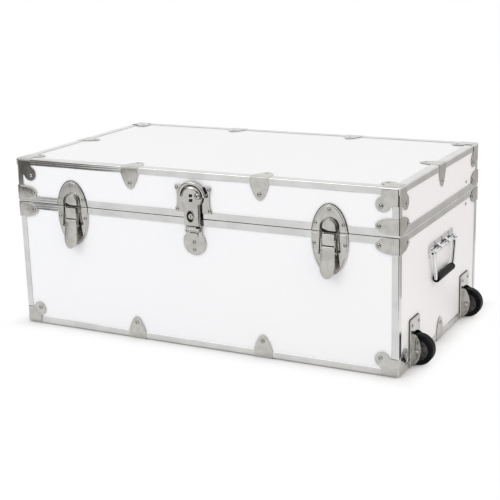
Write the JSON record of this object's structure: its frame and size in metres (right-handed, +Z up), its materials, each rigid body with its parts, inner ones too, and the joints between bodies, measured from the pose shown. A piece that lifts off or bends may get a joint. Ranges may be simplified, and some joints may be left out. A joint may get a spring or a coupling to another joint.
{
  "type": "storage trunk",
  "caption": "White laminated storage trunk with metal-bound edges, a hinged lid on a folding stay, front draw latches, a hasp lock, end handles and tow wheels on one end.",
  "frame": {"origin": "on the floor that the bottom corner caps stand on, under the middle of the case", "axes": "+X towards the wheeled end, -Y out of the front with the lock, +Z up"},
  "size_m": [0.869, 0.4858, 0.3485],
  "materials": {
    "white_laminate": "smooth white laminate on plywood",
    "satin_binding": "finely ribbed satin",
    "nickel_plate": "bright nickel plate on stamped steel",
    "chrome_wire": "polished",
    "black_rubber": "matt black"
  },
  "bodies": {
    "base": {"base_front_panel": "white_laminate", "base_back_panel": "white_laminate", "base_left_panel": "white_laminate", "base_right_panel": "white_laminate", "base_bottom_panel": "white_laminate", "base_edge_binding": "satin_binding", "base_rim": "satin_binding", "corner_cap_bottom_front_left": "nickel_plate", "corner_cap_bottom_front_right": "nickel_plate", "corner_cap_bottom_back_left": "nickel_plate", "corner_cap_bottom_back_right": "nickel_plate", "rim_clamp_base_front_left": "nickel_plate", "rim_clamp_base_front_right": "nickel_plate", "rim_clamp_base_back_left": "nickel_plate", "rim_clamp_base_back_right": "nickel_plate", "latch_left_base_plate": "nickel_plate", "latch_right_base_plate": "nickel_plate", "lock_base_plate": "nickel_plate", "handle_left_bracket": "chrome_wire", "handle_right_bracket": "chrome_wire", "wheel_front_bracket": "nickel_plate", "wheel_back_bracket": "nickel_plate", "wheel_front_axle": "nickel_plate", "wheel_back_axle": "nickel_plate", "hinge_left_base_leaf": "nickel_plate", "hinge_right_base_leaf": "nickel_plate"},
    "lid": {"lid_top_panel": "white_laminate", "lid_front_panel": "white_laminate", "lid_back_panel": "white_laminate", "lid_left_panel": "white_laminate", "lid_right_panel": "white_laminate", "lid_edge_binding": "satin_binding", "lid_rim": "satin_binding", "corner_cap_top_front_left": "nickel_plate", "corner_cap_top_front_right": "nickel_plate", "corner_cap_top_back_left": "nickel_plate", "corner_cap_top_back_right": "nickel_plate", "rim_clamp_lid_front_left": "nickel_plate", "rim_clamp_lid_front_right": "nickel_plate", "rim_clamp_lid_back_left": "nickel_plate", "rim_clamp_lid_back_right": "nickel_plate", "latch_left_catch_plate": "nickel_plate", "latch_right_catch_plate": "nickel_plate", "lock_strike_plate": "nickel_plate", "hinge_left_lid_leaf": "nickel_plate", "hinge_right_lid_leaf": "nickel_plate"},
    "latch_left_lever": {"latch_left_lever": "nickel_plate"},
    "latch_left_bail": {"latch_left_bail": "nickel_plate"},
    "latch_right_lever": {"latch_right_lever": "nickel_plate"},
    "latch_right_bail": {"latch_right_bail": "nickel_plate"},
    "hasp": {"lock_hasp": "nickel_plate"},
    "key_plug": {"lock_key_plug": "nickel_plate"},
    "handle_left": {"handle_left_bail": "chrome_wire", "handle_left_grip": "black_rubber"},
    "handle_right": {"handle_right_bail": "chrome_wire", "handle_right_grip": "black_rubber"},
    "wheel_front": {"wheel_front_tyre": "black_rubber"},
    "wheel_back": {"wheel_back_tyre": "black_rubber"},
    "stay_lower": {"stay_lower_arm": "nickel_plate"},
    "stay_upper": {"stay_upper_arm": "nickel_plate"}
  },
  "joints": [
    {"name": "lid_hinge", "type": "hinge", "parent": "base", "child": "lid", "pos_m": [0, 0.234, 0.2578], "axis": [-1, 0, 0], "range_deg": [0, 105]},
    {"name": "latch_left_lever_pivot", "type": "hinge", "parent": "base", "child": "latch_left_lever", "pos_m": [-0.27716, -0.2361, 0.2428], "axis": [-1, 0, 0], "range_deg": [0, 125]},
    {"name": "latch_left_bail_pivot", "type": "hinge", "parent": "latch_left_lever", "child": "latch_left_bail", "pos_m": [-0.27716, -0.2395, 0.2218], "axis": [1, 0, 0], "range_deg": [0, 140]},
    {"name": "latch_right_lever_pivot", "type": "hinge", "parent": "base", "child": "latch_right_lever", "pos_m": [0.27716, -0.2361, 0.2428], "axis": [-1, 0, 0], "range_deg": [0, 125]},
    {"name": "latch_right_bail_pivot", "type": "hinge", "parent": "latch_right_lever", "child": "latch_right_bail", "pos_m": [0.27716, -0.2395, 0.2218], "axis": [1, 0, 0], "range_deg": [0, 140]},
    {"name": "hasp_hinge", "type": "hinge", "parent": "base", "child": "hasp", "pos_m": [0, -0.2381, 0.2368], "axis": [1, 0, 0], "range_deg": [0, 120]},
    {"name": "key_turn", "type": "hinge", "parent": "hasp", "child": "key_plug", "pos_m": [0, -0.2416, 0.2638], "axis": [0, -1, 0], "range_deg": [0, 90]},
    {"name": "handle_left_pivot", "type": "hinge", "parent": "base", "child": "handle_left", "pos_m": [-0.4144, 0, 0.19048], "axis": [0, 1, 0], "range_deg": [0, 90]},
    {"name": "handle_right_pivot", "type": "hinge", "parent": "base", "child": "handle_right", "pos_m": [0.4144, 0, 0.19048], "axis": [0, -1, 0], "range_deg": [0, 90]},
    {"name": "wheel_front_spin", "type": "hinge", "parent": "base", "child": "wheel_front", "pos_m": [0.4179, -0.15001, 0.0316], "axis": [0, 1, 0], "continuous": true},
    {"name": "wheel_back_spin", "type": "hinge", "parent": "base", "child": "wheel_back", "pos_m": [0.4179, 0.15001, 0.0316], "axis": [0, 1, 0], "continuous": true},
    {"name": "stay_lower_pivot", "type": "hinge", "parent": "base", "child": "stay_lower", "pos_m": [0.3939, 0.15545, 0.2353], "axis": [-1, 0, 0], "range_deg": [0, 105]},
    {"name": "stay_upper_pivot", "type": "hinge", "parent": "lid", "child": "stay_upper", "pos_m": [0.3915, 0.15545, 0.2803], "axis": [-1, 0, 0], "range_deg": [-105, 0]}
  ],
  "couplings": [
    {"joint": "latch_left_bail_pivot", "follows": "latch_left_lever_pivot", "ratio": 1.1},
    {"joint": "latch_right_bail_pivot", "follows": "latch_right_lever_pivot", "ratio": 1.1},
    {"joint": "stay_lower_pivot", "follows": "lid_hinge", "ratio": 1},
    {"joint": "stay_upper_pivot", "follows": "lid_hinge", "ratio": -1}
  ]
}
